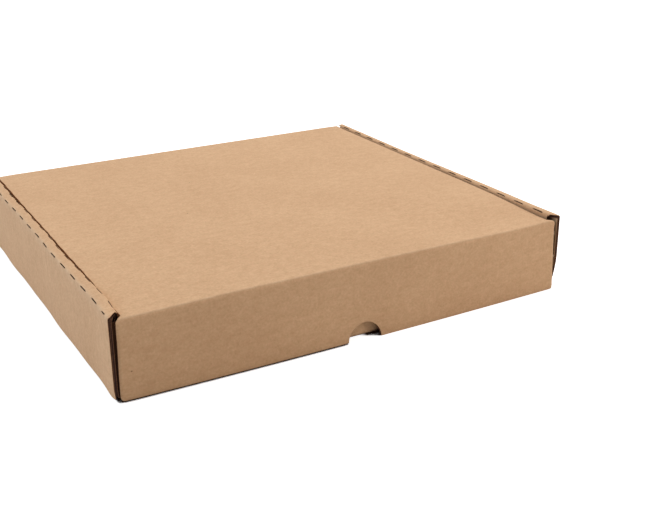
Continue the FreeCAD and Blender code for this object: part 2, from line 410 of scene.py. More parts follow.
def trayWarp(p, isEndWall=False):
    # the box as it stands: side walls not quite flat, front wall pressed down a little by the lid
    v = standing
    x, y, z = p[:, 0], p[:, 1], p[:, 2]
    left, right = smoothStep(-x, *v["wallFrom"]), smoothStep(x, *v["wallFrom"])
    inside = smoothStep(y, *v["waveFront"]) * smoothStep(-y, *v["waveBack"])
    wave = np.sin(y / 21.0 + 0.6) + 0.6 * np.sin(y / 9.5 + 2.0)
    move = np.zeros_like(p)
    move[:, 0] += left * inside * (v["leftLean"] + v["wallWave"] * wave)
    move[:, 0] -= right * inside * (v["rightLean"] + v["wallWave"] * np.sin(y / 26.0))
    end = 1 - smoothStep(y, *v["curlFront"]) * smoothStep(-y, *v["curlBack"])
    curl = np.clip(1 - z / v["curlRise"], 0, 1) ** 2 * end * (np.abs(x) > v["curlBeyond"])
    move[:, 0] += v["footCurl"] * curl * left
    nearFront = 1 - smoothStep(y, *v["pressedFrom"])
    if not isEndWall:
        nearFront *= 1 - smoothStep(np.abs(x), *v["pressedEnds"])
    move[:, 2] -= frontDrop(x) * nearFront * smoothStep(z, *v["pressedRise"])
    return p + move


def placeSide(bx, by, w):
    # the top strips lie a little narrower and tilted, each in its own way
    v = standing
    outerEnd, innerStart = sideProfile["arcs"][1][1], sideProfile["arcs"][2][0]
    p = onProfile(sideProfile, np.abs(bx), w)
    x, z = p[:, 0], p[:, 1]
    upper = smoothStep(z, *v["stripRise"])
    past = smoothStep(np.abs(bx), outerEnd - 1, innerStart) * upper
    leftRecess = v["leftStripRecess"] * smoothStep(by, *v["leftRecessFrom"])
    recess = np.where(bx > 0, v["rightStripRecess"], leftRecess)
    frontRise = v["rightFrontRise"] * (1 - past) * smoothStep(-by, *v["risesTowardsFront"])
    backDrop = v["rightBackDrop"] * smoothStep(by, *v["dropsTowardsBack"])
    tilt = (frontRise - backDrop) * upper * (bx > 0)
    x = x + recess * past
    return trayWarp(np.stack([np.where(bx < 0, -x, x), by, z + tilt], axis=1))


def bottomJoined(bx, by):
    onJoint = abs(by - wallJoint) < 0.01 or abs(by - backJoint) < 0.01
    return onJoint and abs(bx) < footHalf + 0.01


def mirroredLines(lines):
    right = np.array(lines, float)
    return np.concatenate([-right[:0:-1], right])


sideMiddle = (box["creaseFace"] + box["back"]) / 2
tabMiddles = [sideMiddle + tab for tab in sideWall["tabs"]]


def slitPhase(y):
    # distance from the middle of the nearest slit of the outer folds
    pitch = sideWall["slitPitch"]
    return np.abs(np.mod(y - sideMiddle + pitch * sideWall["slitRows"] / 2, pitch) - pitch / 2)


def sideRows():
    v = sideWall
    first = sideMiddle - v["slitPitch"] * (v["slitRows"] - 1) / 2
    front, back = box["creaseFace"], box["back"]
    rows = {front, front + v["edgeLine"], wallJoint, backJoint, back - v["edgeLine"], back}
    for k in range(2 * v["slitRows"] - 1):
        for part in v["slitLines"]:
            rows.add(first + (k / 2) * v["slitPitch"] + part * v["slitLength"])
    for tab in tabMiddles:
        for half in (v["tabLength"] / 2, v["tabLength"] / 2 + v["slotClearance"]):
            rows |= {tab - half, tab + half}
    rows = sorted(r for r in rows if front <= r <= back)
    return np.array([r for k, r in enumerate(rows) if k == 0 or r - rows[k - 1] > 0.05])


def makeSidePanels(sheet):
    v, s = sideWall, sideProfile
    outerArc, innerArc = s["arcs"][1:]
    lastBend = s["bends"][0]
    tabLine = s["along"][-1] + v["panelFoot"] - v["tabFoot"]
    us = mirroredLines(bottomLines + list(s["along"][lastBend:]) + [tabLine])
    vs = sideRows()
    cells = ((us[:-1] + us[1:]) / 2)[:, None]
    cu = np.abs(cells)
    cv = ((vs[:-1] + vs[1:]) / 2)[None, :]
    ends = (cv < wallJoint) | (cv > backJoint)
    keep = ~(ends & ((cu < s["along"][lastBend + 2]) | (cu > s["along"][s["bends"][2] + 3])))
    inTab, inSlot = np.zeros_like(cv, bool), np.zeros_like(cv, bool)
    for tab in tabMiddles:
        inTab |= np.abs(cv - tab) < v["tabLength"] / 2
        inSlot |= np.abs(cv - tab) < v["tabLength"] / 2 + v["slotClearance"]
    keep &= ~((cu > s["along"][-1]) & ~inTab)
    keep &= ~(inSlot & (cu > slotLow) & (cu < slotHigh))
    onOuter = slitPhase(cv) < v["slitLength"] / 2
    for bend, cut, wanted in ((s["bends"][1], "outerSlit", onOuter), (s["bends"][2], "innerSlit", ~onOuter)):
        for side, steps in v[cut].items():
            low, high = (s["along"][bend + step] for step in steps)
            keep &= ~(wanted & ~ends & (cu > low) & (cu < high) & ((cells > 0) == (side == "right")))
    U, V = np.meshgrid(us, vs, indexing="ij")
    blankX, blankY = shapeSideBlank(U, V)

    def plain(bx, by):
        bx = abs(bx)
        inSlit = any(arc[0] - 0.1 < bx < arc[1] + 0.1 for arc in (outerArc, innerArc))
        inSlotNow = slotLow - 0.2 < bx < slotHigh + 0.2
        return (inSlit or inSlotNow) and wallJoint + 0.5 < by < backJoint - 0.5

    def paintedLight(bx, by):
        # painted highlight on the outer folds, and painted shade along the inner fold of each strip,
        # stronger on the right
        fromFold = (abs(bx) - (outerArc[0] + outerArc[1]) / 2) / v["foldHighlightWidth"]
        past = bx - innerArc[0]
        paintedShade = smoothStep(past, *v["paintedShadeFrom"]) * (1 - smoothStep(past, *v["paintedShadeTo"]))
        amount = v["paintedShade"]["right" if bx > 0 else "left"]
        return v["foldHighlight"] * math.exp(-(fromFold**2)) - amount * float(paintedShade)

    addPanel(sheet, blankX, blankY, keep, placeSide, plain, bottomJoined, paintedLight)


def shapeSideBlank(U, V):
    # slanted strip ends, cut lower corners, tapered tabs and slits that narrow to a point
    v, s = sideWall, sideProfile
    outerArc, innerArc = s["arcs"][1:]
    blankX, blankY = U.copy(), V.copy()
    across = np.clip((np.abs(U) - outerArc[1]) / (innerArc[0] - outerArc[1]), 0, 1)
    foot = s["along"][s["bends"][0] + 2]
    rise = np.abs(U) - foot
    onPanel = np.abs(U) > footHalf
    corner = np.clip(1 - rise / v["endCut"], 0, 1) * v["endCut"] * onPanel
    frontCorner = np.clip(1 - rise / v["rightEndRise"], 0, 1) ** v["rightEndCurve"]
    frontCorner = np.where(U > 0, frontCorner * v["rightEndCut"] * onPanel, corner)
    front, back = box["creaseFace"], box["back"]
    frontFade = np.clip((wallJoint - V) / (wallJoint - front), 0, 1)
    backFade = np.clip((V - backJoint) / (back - backJoint), 0, 1)
    blankY += frontFade * (across * v["frontSlant"] + frontCorner)
    blankY -= backFade * (across * v["backSlant"] + corner)
    for tab in tabMiddles:
        onFoot = (np.abs(U) > s["along"][-1] + 0.01) & (np.abs(V - tab) < v["tabLength"] / 2 + 0.05)
        blankY = np.where(onFoot, tab + (V - tab) * (1 - 2 * v["tabTaper"] / v["tabLength"]), blankY)
    slitEnd = np.abs(slitPhase(V) - v["slitLength"] / 2) < 0.01
    for arc in (outerArc, innerArc):
        middle, reach = (arc[0] + arc[1]) / 2, (arc[1] - arc[0]) / 2
        near = (np.abs(np.abs(U) - middle) < reach * 0.9) & slitEnd
        pulled = np.sign(U) * (middle + (np.abs(U) - middle) * v["slitTip"])
        blankX = np.where(near, pulled, blankX)
    return blankX, blankY


# Front and back walls with the ears that fold back into the side walls

endWall = {
    "top": lidLow[2] - 0.3,
    "earLength": 62.0,
    "earTaper": 14.0,
    "earRound": 6.0,
    "backCrease": 49.0,
    "flatUpTo": 150.0,
    "cornerFrom": (150.5, 153.5),
    "backShade": 0.8,
    "frontShade": 1.7,
    "notchShade": 1.3,
    "notchFrom": (3, 13.5),
    "notchTo": (15, 22),
    "notchRise": (12, 20),
}


def makeEndWall(sheet, face, inward, joint, isBack):
    e = endWall
    inner = face + inward * t
    lead = 2.0
    upright = foldProfile(
        [(joint + inward * lead, 0), (face, 0, sideWall["baseRadius"]), (face, e["top"])],
        [(joint + inward * lead, t), (inner, t, sideWall["baseInner"]), (inner, e["top"])],
        [1, 1],
    )
    tip = inner + inward * e["earLength"]
    around = foldProfile(
        [(e["flatUpTo"], face), (earSide, face, cornerRadius), (earSide, tip)],
        [(e["flatUpTo"], inner), (earSide - t, inner, 0.5), (earSide - t, tip)],
        [1, 1],
    )
    around["along"] = around["along"] + e["flatUpTo"]
    bend = around["bends"][0]
    firstBend = upright["bends"][0]
    arcRows = list(upright["along"][firstBend : firstBend + upright["arcSteps"] + 1] - lead)
    arcEnd, total = arcRows[-1], upright["along"][-1] - lead

    def place(bx, by, w):
        s = (joint - by) * inward
        yz = onProfile(upright, s + lead, w)
        xy = onProfile(around, np.maximum(np.abs(bx), e["flatUpTo"]), w)
        turned = np.abs(bx) > e["flatUpTo"]
        x = np.abs(bx) + (np.where(turned, xy[:, 0], np.abs(bx)) - np.abs(bx)) * np.clip(s / arcEnd, 0, 1)
        y = yz[:, 0] + np.where(turned, xy[:, 1] - (face + inward * t * w), 0)
        return trayWarp(np.stack([np.where(bx < 0, -x, x), y, yz[:, 1]], axis=1), True)

    earStart, earEnd = around["along"][bend + around["arcSteps"]], around["along"][-1]
    taperAt = earStart + e["earTaper"] - cornerRadius
    roundAt = earEnd - e["earRound"]
    earLines = [(earStart + taperAt) / 2] + list(np.linspace(taperAt, roundAt, 5))
    earLines += [roundAt + e["earRound"] * part for part in (0.35, 0.6, 0.8, 0.93, 1.0)]
    arcLines = list(around["along"][bend + 1 : bend + around["arcSteps"] + 1])
    lines = sorted(set(bottomLines + arcLines + earLines) | ({box["lidHalf"]} if isBack else set()))
    us = mirroredLines(lines)
    creaseRow = total - (e["top"] - e["backCrease"])
    rows = arcRows + [arcEnd + (total - arcEnd) * part for part in (0.12, 0.25, 0.4, 0.55, 0.7, 0.85)]
    vs = np.array(rows + ([creaseRow] if isBack else []) + [total])
    U, V = np.meshgrid(us, vs, indexing="ij")
    narrow = np.clip((np.abs(U) - taperAt) / (earEnd - taperAt), 0, 1) * e["earTaper"]
    rounding = np.clip((np.abs(U) - roundAt) / e["earRound"], 0, 1)
    narrow = narrow + e["earRound"] * (1 - np.sqrt(1 - rounding**2))
    rise, middle = total - arcEnd, (total + arcEnd) / 2
    shaped = middle + (V - middle) * (1 - 2 * narrow / rise)
    V = np.where((np.abs(U) > footHalf + 0.01) & (V > arcEnd - 0.01), shaped, V)
    cu = (np.abs(us[:-1] + us[1:]) / 2)[:, None]
    cv = ((vs[:-1] + vs[1:]) / 2)[None, :]
    keep = (cu < footHalf) | (cv > arcEnd)
    if isBack:
        keep &= ~((cu < box["lidHalf"]) & (cv > creaseRow))
    blankY = joint - inward * V
    if inward > 0:
        U, blankY, keep = U[:, ::-1], blankY[:, ::-1], keep[:, ::-1]

    def plain(bx, by):
        return isBack and abs((joint - by) * inward - creaseRow) < 0.1 and abs(bx) < box["lidHalf"]

    def paintedLight(bx, by):
        # painted shade: the corners and ears are darkened as if they stayed in the dark, and so is the wall
        # at the right of the thumb notch
        corner = float(smoothStep(abs(bx), *e["cornerFrom"]))
        if isBack:
            return -e["backShade"] * corner
        notch = smoothStep(bx, *e["notchFrom"]) * (1 - smoothStep(bx, *e["notchTo"]))
        notch *= 1 - smoothStep(joint - by, *e["notchRise"])
        return -e["frontShade"] * corner - e["notchShade"] * float(notch)

    addPanel(sheet, U, blankY, keep, place, plain, bottomJoined, paintedLight)


# Lid, front flap and the two creases that carry them, one strip of the sheet in side view

cover = {
    "foldRadius": 1.0,
    "foldInner": 0.3,
    "tail": endWall["backCrease"],
    "creaseOnWall": endWall["backCrease"],
    "creaseOnLidBack": 140.0,
    "creaseOnLidFront": -138.5,
    "creaseOnFlap": 47.5,
    "shoulderOnLid": -140.6,
    "shoulderOnFlap": 51.2,
    "cornerRadius": 2.5,
    "crush": 0.3,
    "crushWidth": 0.7,
    # painted highlight along the lid's creases
    "creaseHighlight": 0.6,
    "creaseHighlightWidth": 0.8,
    "flapPaintedShade": (0.04, 0.12),  # painted shade: how much darker the flap is at its right end, and what comes on top at its left
    "flapPaintedShadeFrom": (-150, 120),
    "notchRadius": 12.0,
    "notchAt": 2.2,
    "notchHeight": 0.5,
}
flapSlope = (box["creaseFace"] - box["flapFace"]) / (box["lidTop"] - box["flapFoot"])
flapDepth = t * math.hypot(1.0, flapSlope)
innerCrease = box["creaseFace"] + flapDepth - flapSlope * t
coverProfile = foldProfile(
    [
        (box["backFace"], cover["tail"]),
        (box["backFace"], box["lidTop"], cover["foldRadius"]),
        (box["creaseFace"], box["lidTop"], cover["foldRadius"]),
        (box["flapFace"], box["flapFoot"]),
    ],
    [
        (box["backFace"] - t, cover["tail"]),
        (box["backFace"] - t, box["lidTop"] - t, cover["foldInner"]),
        (innerCrease, box["lidTop"] - t, cover["foldInner"]),
        (box["flapFace"] + flapDepth, box["flapFoot"]),
    ],
    [1, 1, 1],
)
backArc, frontArc = coverProfile["arcs"]
lidStart = coverProfile["out"][coverProfile["bends"][0] + 6][0]
flapStart = coverProfile["out"][coverProfile["bends"][1] + 6][1]


def alongLid(y):
    return backArc[1] + lidStart - y


def alongWall(z):
    return z - cover["tail"]


def alongFlap(z):
    return frontArc[1] + (flapStart - z) * math.hypot(1.0, flapSlope)


settled = {
    "footIn": 2.0,
    "rightFootDrop": 0.7,
    "dropFrom": (2, 16),
    "leftFlare": 0.9,
    "rightFlare": 1.9,
    "flareFrom": (110, 155),
    "sunkFrom": (-150, -70),
    "flapRise": (0, 50),
    "leftGap": -0.15,
    "leftGapBack": 0.35,
    "rightEdgeDrop": 0.3,
    "leftEdge": (100, 151),
    "rightEdge": (110, 151),
    "edgeFront": (-140, -132),
    "edgeBack": (-146, -130),
    "gapWidens": (-60, 140),
    "lidFrom": (44, 50),
}


def coverWarp(p):
    # lid and flap as they lie: front corners sunk, the flap's foot bowed out in the middle
    x, y, z = p[:, 0], p[:, 1], p[:, 2]
    v = settled
    outward = (x / box["lidHalf"]) ** 2
    front = 1 - smoothStep(y, *v["sunkFrom"])
    down = 1 - smoothStep(z, *v["flapRise"])
    move = np.zeros_like(p)
    move[:, 2] -= frontDrop(x) * front * smoothStep(z, *v["flapRise"])
    move[:, 1] += v["footIn"] * outward * down * (z < 52)
    move[:, 2] -= v["rightFootDrop"] * smoothStep(x, *v["dropFrom"]) * down
    flare = v["rightFlare"] * smoothStep(x, *v["flareFrom"])
    move[:, 0] += down * (flare - v["leftFlare"] * smoothStep(-x, *v["flareFrom"]))
    onLid = smoothStep(z, *v["lidFrom"]) * smoothStep(y, *v["edgeFront"])
    wavy = 0.12 * np.sin(y / 3.1 + 0.5 * np.sin(y / 11.0)) + 0.1 * np.sin(y / 17.0 + 1.0)
    gap = v["leftGap"] + wavy + v["leftGapBack"] * smoothStep(y, *v["gapWidens"])
    move[:, 0] += smoothStep(-x, *v["leftEdge"]) * onLid * gap
    dropped = smoothStep(x, *v["rightEdge"]) * smoothStep(-y, *v["edgeBack"])
    move[:, 2] -= dropped * onLid * v["rightEdgeDrop"]
    return p + move


def placeCover(bx, by, w):
    yz = onProfile(coverProfile, -by, w)
    return coverWarp(np.stack([bx, yz[:, 0], yz[:, 1]], axis=1))


def coverPaintedLight(bx, by):
    # painted highlight along the creases, and painted shade that makes the flap a little darker, more
    # towards the left
    nearest = min(abs(-by - (arc[0] + arc[1]) / 2) for arc in (backArc, frontArc))
    onFlap = smoothStep(-by, frontArc[0], frontArc[1] + 3)
    c = cover
    flapPaintedShade = c["flapPaintedShade"][0] + c["flapPaintedShade"][1] * (1 - smoothStep(bx, *c["flapPaintedShadeFrom"]))
    foldHighlight = c["creaseHighlight"] * math.exp(-((nearest / c["creaseHighlightWidth"]) ** 2))
    return foldHighlight * (1 - 0.6 * onFlap) - float(onFlap * flapPaintedShade)


def flapCrush(bx, by):
    # the flap's side edges are pressed and rounded by handling
    inside = (box["flapHalf"] - abs(bx)) / cover["crushWidth"]
    return cover["crush"] * math.exp(-(inside**2)) * float(smoothStep(-by, frontArc[1], frontArc[1] + 6))


def addCover(sheet, xs, rows, keep=None, ends=()):
    # rows of lengths along the cover, one set for each line of xs
    U = np.repeat(np.array(xs)[:, None], rows.shape[1], axis=1)
    if keep is None:
        keep = np.ones((len(xs) - 1, rows.shape[1] - 1), bool)

    def plain(bx, by):
        return any(abs(-by - s) < 0.02 for s in ends)

    U, V, keep = U[:, ::-1], -rows[:, ::-1], keep[:, ::-1]
    addPanel(sheet, U, V, keep, placeCover, plain, None, coverPaintedLight, flapCrush)


def makeLidPanel(name, finishes):
    sheet, xs = newSheet(), lidColumns()
    start, end = alongLid(cover["creaseOnLidBack"]), alongLid(cover["creaseOnLidFront"])
    rows = np.tile(np.linspace(start, end, 141), (len(xs), 1))
    addCover(sheet, xs, rows, ends=(start, end))
    return sheet, closeSheet(sheet, name, finishes)


def makeLidCrease(name, finishes):
    sheet, xs = newSheet(), lidColumns()
    start, end = alongWall(cover["creaseOnWall"]), alongLid(cover["creaseOnLidBack"])
    arc = np.linspace(backArc[0], backArc[1], 7)
    stations = [start, (start + arc[0]) / 2, *arc, arc[-1] + 0.8, (arc[-1] + end) / 2, end]
    addCover(sheet, xs, np.tile(stations, (len(xs), 1)), ends=(start, end))
    return closeSheet(sheet, name, finishes)


def lidColumns():
    columns = flapColumns()
    return columns[np.abs(columns) < box["lidHalf"] + 0.01]


def flapColumns():
    c = cover
    half, lid = box["flapHalf"], box["lidHalf"]
    corner = [half - c["cornerRadius"] * (1 - math.cos(math.radians(a))) for a in (0, 20, 38, 55, 72, 90)]
    outer = sorted(corner + [(lid * 2 + half) / 3, (lid + half) / 2])
    angles = [0, *range(4, 177, 8), 180]
    notch = [c["notchAt"] - c["notchRadius"] * math.cos(math.radians(a)) for a in angles]
    left = list(np.linspace(-lid, notch[0], 13)[:-1])
    right = list(np.linspace(notch[-1], lid, 13)[1:])
    return np.array([-v for v in reversed(outer)] + left + notch + right + outer)


def flapFootAt(x):
    # lower edge of the flap: rounded corners and the half-round thumb notch
    c = cover
    past = np.clip(np.abs(x) - (box["flapHalf"] - c["cornerRadius"]), 0, c["cornerRadius"])
    foot = box["flapFoot"] + c["cornerRadius"] - np.sqrt(c["cornerRadius"] ** 2 - past**2)
    notch = c["notchRadius"] ** 2 - (x - c["notchAt"]) ** 2
    return np.maximum(foot, (notch > 0) * c["notchHeight"] + np.sqrt(np.clip(notch, 0, None)))


def shoulderAt(x):
    # where the slanted shoulder that widens the lid to the flap crosses the line at x
    out = np.clip((np.abs(x) - box["lidHalf"]) / (box["flapHalf"] - box["lidHalf"]), 0, 1)
    start, end = alongLid(cover["shoulderOnLid"]), alongFlap(cover["shoulderOnFlap"])
    return start + (end - start) * (out * 0.86 + 0.14 * out**4)


def makeFlapCrease(name, finishes):
    sheet, xs = newSheet(), flapColumns()
    start, end = alongLid(cover["creaseOnLidFront"]), alongFlap(cover["creaseOnFlap"])
    step = alongLid(cover["shoulderOnLid"])
    arc = np.linspace(frontArc[0], frontArc[1], 7)
    stations = np.array([start, step, arc[0] - 0.8, *arc, arc[-1] + 0.8, (arc[-1] + end) / 2, end])
    rows = np.tile(stations, (len(xs), 1))
    past = np.abs(xs) > box["lidHalf"] + 0.01
    share = np.clip((stations - step) / (end - step), 0, 1)
    top = shoulderAt(xs)
    shaped = top[:, None] + (end - top)[:, None] * share[None, :]
    rows = np.where(past[:, None] & (stations >= step - 0.01)[None, :], shaped, rows)
    cu = (np.abs(xs[:-1] + xs[1:]) / 2)[:, None]
    keep = (cu < box["lidHalf"]) | (stations[:-1] >= step - 0.01)[None, :]
    addCover(sheet, xs, rows, keep, (start, end))
    return closeSheet(sheet, name, finishes)


def makeFlapPanel(name, finishes):
    sheet, xs = newSheet(), flapColumns()
    start = alongFlap(cover["creaseOnFlap"])
    foot = alongFlap(flapFootAt(xs))
    share = np.append(np.linspace(0, 1, 15)[:-1], [0.975, 1.0])
    rows = start + (foot - start)[:, None] * share[None, :]
    addCover(sheet, xs, rows, ends=(start,))
    return sheet, closeSheet(sheet, name, finishes)


# Corrugated paper in the open edges: guide lines first, then a node tree that waves them

flute = {
    "pitch": 6.8,
    "height": 1.45,
    "paper": 0.22,
    "reach": 2.0,
    "setBack": 0.3,
    "sampling": 0.75,
    "alongShare": 0.045,  # how much of the wave shows on an edge that runs along the flutes
    "wander": 0.5,
    "wanderScale": 45,
    "mergeDistance": 0.002,
    "seed": 7,
}


def rimLoops(edges):
    following = {}
    for a, b in edges:
        following.setdefault(a, []).append(b)
    starts = set(following) - {b for a, b in edges}
    loops = []
    order = sorted(starts) + sorted(following)
    for first in order:
        while following.get(first):
            loop, here = [first], following[first].pop()
            while here != first and following.get(here):
                loop.append(here)
                here = following[here].pop()
            loop.append(here)
            loops.append(loop)
    return loops


def fluteGuides(name, sheets):
    points, edges, inward, across, phase = [], [], [], [], []
    for sheet in sheets:
        shift = sheet["nearShift"]
        for loop in rimLoops(sheet["rims"]):
            closed = loop[0] == loop[-1]
            ids = loop[:-1] if closed else loop
            push = np.array([shift[v] for v in ids])
            push = push / np.maximum(np.linalg.norm(push, axis=1), 0.01)[:, None]
            near = placeAll(sheet, ids, push * flute["setBack"], 0.5)
            far = placeAll(sheet, ids, push * flute["reach"], 0.5)
            side = placeAll(sheet, ids, push * flute["setBack"], 0.9) - near
            blank = np.array([sheet["blank"][v] for v in ids])
            first = len(points)
            points += near.tolist()
            inward += (far - near).tolist()
            across += (side / np.linalg.norm(side, axis=1)[:, None]).tolist()
            phase += (blank[:, 1] + blank[:, 0] * flute["alongShare"]).tolist()
            edges += [(first + k, first + k + 1) for k in range(len(ids) - 1)]
            if closed:
                edges.append((first + len(ids) - 1, first))
    mesh = bpy.data.meshes.new(name + "Guides")
    mesh.from_pydata((np.array(points) * mm).tolist(), edges, [])
    for label, kind, values in (
        ("inward", "FLOAT_VECTOR", np.array(inward) * mm),
        ("across", "FLOAT_VECTOR", np.array(across)),
        ("phase", "FLOAT", np.array(phase) * mm),
    ):
        layer = mesh.attributes.new(label, kind, "POINT")
        field = "vector" if kind == "FLOAT_VECTOR" else "value"
        layer.data.foreach_set(field, values.astype(np.float32).ravel())
    guides = bpy.data.objects.new(name + "Guides", mesh)
    scene.collection.objects.link(guides)
    return guides


def node(tree, kind, **settings):
    made = tree.nodes.new(kind)
    for key, value in settings.items():
        setattr(made, key, value)
    return made


def link(tree, a, b):
    tree.links.new(a, b)


def mathNode(tree, operation, a, b=None):
    made = node(tree, "ShaderNodeMath", operation=operation)
    for slot, value in enumerate((a, b)):
        if isinstance(value, (int, float)):
            made.inputs[slot].default_value = value
        elif value is not None:
            link(tree, value, made.inputs[slot])
    return made.outputs[0]


def productOf(tree, *factors):
    result = factors[0]
    for factor in factors[1:]:
        result = mathNode(tree, "MULTIPLY", result, factor)
    return result


def sumOf(tree, *parts):
    result = parts[0]
    for part in parts[1:]:
        result = mathNode(tree, "ADD", result, part)
    return result


def namedAttribute(tree, name, kind):
    made = node(tree, "GeometryNodeInputNamedAttribute", data_type=kind)
    made.inputs["Name"].default_value = name
    return made.outputs["Attribute"]


def buildFluteTree():
    tree = bpy.data.node_groups.new("corrugatedPaper", "GeometryNodeTree")
    face = tree.interface
    face.new_socket("Geometry", in_out="INPUT", socket_type="NodeSocketGeometry")
    for label in ("Pitch", "Height", "Paper", "Sampling", "Wander"):
        face.new_socket(label, in_out="INPUT", socket_type="NodeSocketFloat")
    face.new_socket("Seed", in_out="INPUT", socket_type="NodeSocketInt")
    face.new_socket("Finish", in_out="INPUT", socket_type="NodeSocketMaterial")
    face.new_socket("Geometry", in_out="OUTPUT", socket_type="NodeSocketGeometry")
    given = node(tree, "NodeGroupInput").outputs
    curve = node(tree, "GeometryNodeMeshToCurve")
    link(tree, given["Geometry"], curve.inputs["Mesh"])
    sampled = node(tree, "GeometryNodeResampleCurve", mode="LENGTH")
    link(tree, curve.outputs[0], sampled.inputs["Curve"])
    link(tree, given["Sampling"], sampled.inputs["Length"])
    line = node(tree, "GeometryNodeCurveToMesh")
    link(tree, sampled.outputs[0], line.inputs["Curve"])
    noise = node(tree, "ShaderNodeTexNoise", noise_dimensions="4D")
    noise.inputs["Scale"].default_value = flute["wanderScale"]
    link(tree, node(tree, "GeometryNodeInputPosition").outputs[0], noise.inputs["Vector"])
    link(tree, given["Seed"], noise.inputs["W"])
    drift = productOf(tree, mathNode(tree, "SUBTRACT", noise.outputs["Fac"], 0.5), given["Wander"])
    turns = mathNode(tree, "DIVIDE", namedAttribute(tree, "phase", "FLOAT"), given["Pitch"])
    angle = productOf(tree, sumOf(tree, turns, drift), 2 * math.pi)
    half = mathNode(tree, "DIVIDE", given["Height"], 2.0)
    swing = productOf(tree, mathNode(tree, "SINE", angle), half)
    offset = node(tree, "ShaderNodeVectorMath", operation="SCALE")
    link(tree, namedAttribute(tree, "across", "FLOAT_VECTOR"), offset.inputs[0])
    link(tree, swing, offset.inputs["Scale"])
    waved = node(tree, "GeometryNodeSetPosition")
    link(tree, line.outputs[0], waved.inputs["Geometry"])
    link(tree, offset.outputs[0], waved.inputs["Offset"])
    ribbon = node(tree, "GeometryNodeExtrudeMesh", mode="EDGES")
    link(tree, waved.outputs[0], ribbon.inputs["Mesh"])
    link(tree, namedAttribute(tree, "inward", "FLOAT_VECTOR"), ribbon.inputs["Offset"])
    ribbon.inputs["Offset Scale"].default_value = 1.0
    thick = node(tree, "GeometryNodeExtrudeMesh", mode="FACES")
    link(tree, ribbon.outputs["Mesh"], thick.inputs["Mesh"])
    link(tree, given["Paper"], thick.inputs["Offset Scale"])
    thick.inputs["Individual"].default_value = False
    back = node(tree, "GeometryNodeFlipFaces")
    link(tree, ribbon.outputs["Mesh"], back.inputs["Mesh"])
    both = node(tree, "GeometryNodeJoinGeometry")
    link(tree, thick.outputs["Mesh"], both.inputs[0])
    link(tree, back.outputs[0], both.inputs[0])
    merged = node(tree, "GeometryNodeMergeByDistance")
    link(tree, both.outputs[0], merged.inputs["Geometry"])
    merged.inputs["Distance"].default_value = flute["mergeDistance"] * mm
    smooth = node(tree, "GeometryNodeSetShadeSmooth")
    smooth.inputs["Shade Smooth"].default_value = False
    link(tree, merged.outputs[0], smooth.inputs["Geometry"])
    real = node(tree, "GeometryNodeRealizeInstances")
    link(tree, smooth.outputs[0], real.inputs[0])
    finish = node(tree, "GeometryNodeSetMaterial")
    link(tree, real.outputs[0], finish.inputs["Geometry"])
    link(tree, given["Finish"], finish.inputs["Material"])
    link(tree, finish.outputs[0], node(tree, "NodeGroupOutput").inputs[0])
    return tree


def makeFlutes(name, sheets, tree, finish):
    guides = fluteGuides(name, sheets)
    modifier = guides.modifiers.new("flutes", "NODES")
    modifier.node_group = tree
    values = {
        "Pitch": flute["pitch"] * mm,
        "Height": flute["height"] * mm,
        "Paper": flute["paper"] * mm,
        "Sampling": flute["sampling"] * mm,
        "Wander": flute["wander"],
        "Seed": flute["seed"],
        "Finish": finish,
    }
    for socket in tree.interface.items_tree:
        if socket.in_out == "INPUT" and socket.name in values:
            modifier[socket.identifier] = values[socket.name]
    evaluated = guides.evaluated_get(bpy.context.evaluated_depsgraph_get())
    mesh = bpy.data.meshes.new_from_object(evaluated)
    mesh.name = name
    guides.modifiers.clear()
    bpy.data.objects.remove(guides, do_unlink=True)
    piece = bpy.data.objects.new(name, mesh)
    scene.collection.objects.link(piece)
    print(name, len(mesh.polygons), "faces")
    return piece


# Two tufts of torn paper where the flap's right edge was nicked out of the sheet

tuft = {
    "heights": (43.5, 26.0),
    "shreds": 5,
    "length": (0.6, 1.3),
    "width": 0.5,
    "thickness": 0.12,
    "seed": 11,
}


def makeTufts(name, finish):
    v, chance = tuft, np.random.default_rng(tuft["seed"])
    points, faces = [], []
    for height in v["heights"]:
        for k in range(v["shreds"]):
            z = height + chance.uniform(-0.9, 0.9)
            y = box["creaseFace"] - flapSlope * (box["lidTop"] - z) + chance.uniform(0.2, flapDepth * 0.7)
            root = np.array([box["flapHalf"] - 0.3, y, z])
            out, aside = 0.3 + chance.uniform(*v["length"]), chance.uniform(-0.5, 0.3)
            tip = root + np.array([out, aside, chance.uniform(-0.6, 0.6)])
            up, over = np.array([0, 0, v["width"] / 2]), np.array([0, v["thickness"] / 2, 0])
            first = len(points)
            points += [root - up - over, root + up - over, root + up + over, root - up + over]
            points += [tip - over * 0.5, tip + over * 0.5]
            for ring in ((0, 1, 2, 3), (0, 4, 1), (2, 5, 3), (1, 4, 5, 2), (0, 3, 5, 4)):
                faces.append([first + i for i in ring])
    points = coverWarp(np.array(points))
    blank = points[:, :2] * mm
    return makeMesh(name, points * mm, faces, [0] * len(faces), [finish], blank, np.zeros(len(points)))


# Finishes: brown kraft paper outside, a plainer one inside, and the cut edges


def srgb(colour):
    return tuple(((v / 255 + 0.055) / 1.055) ** 2.4 for v in colour) + (1.0,)


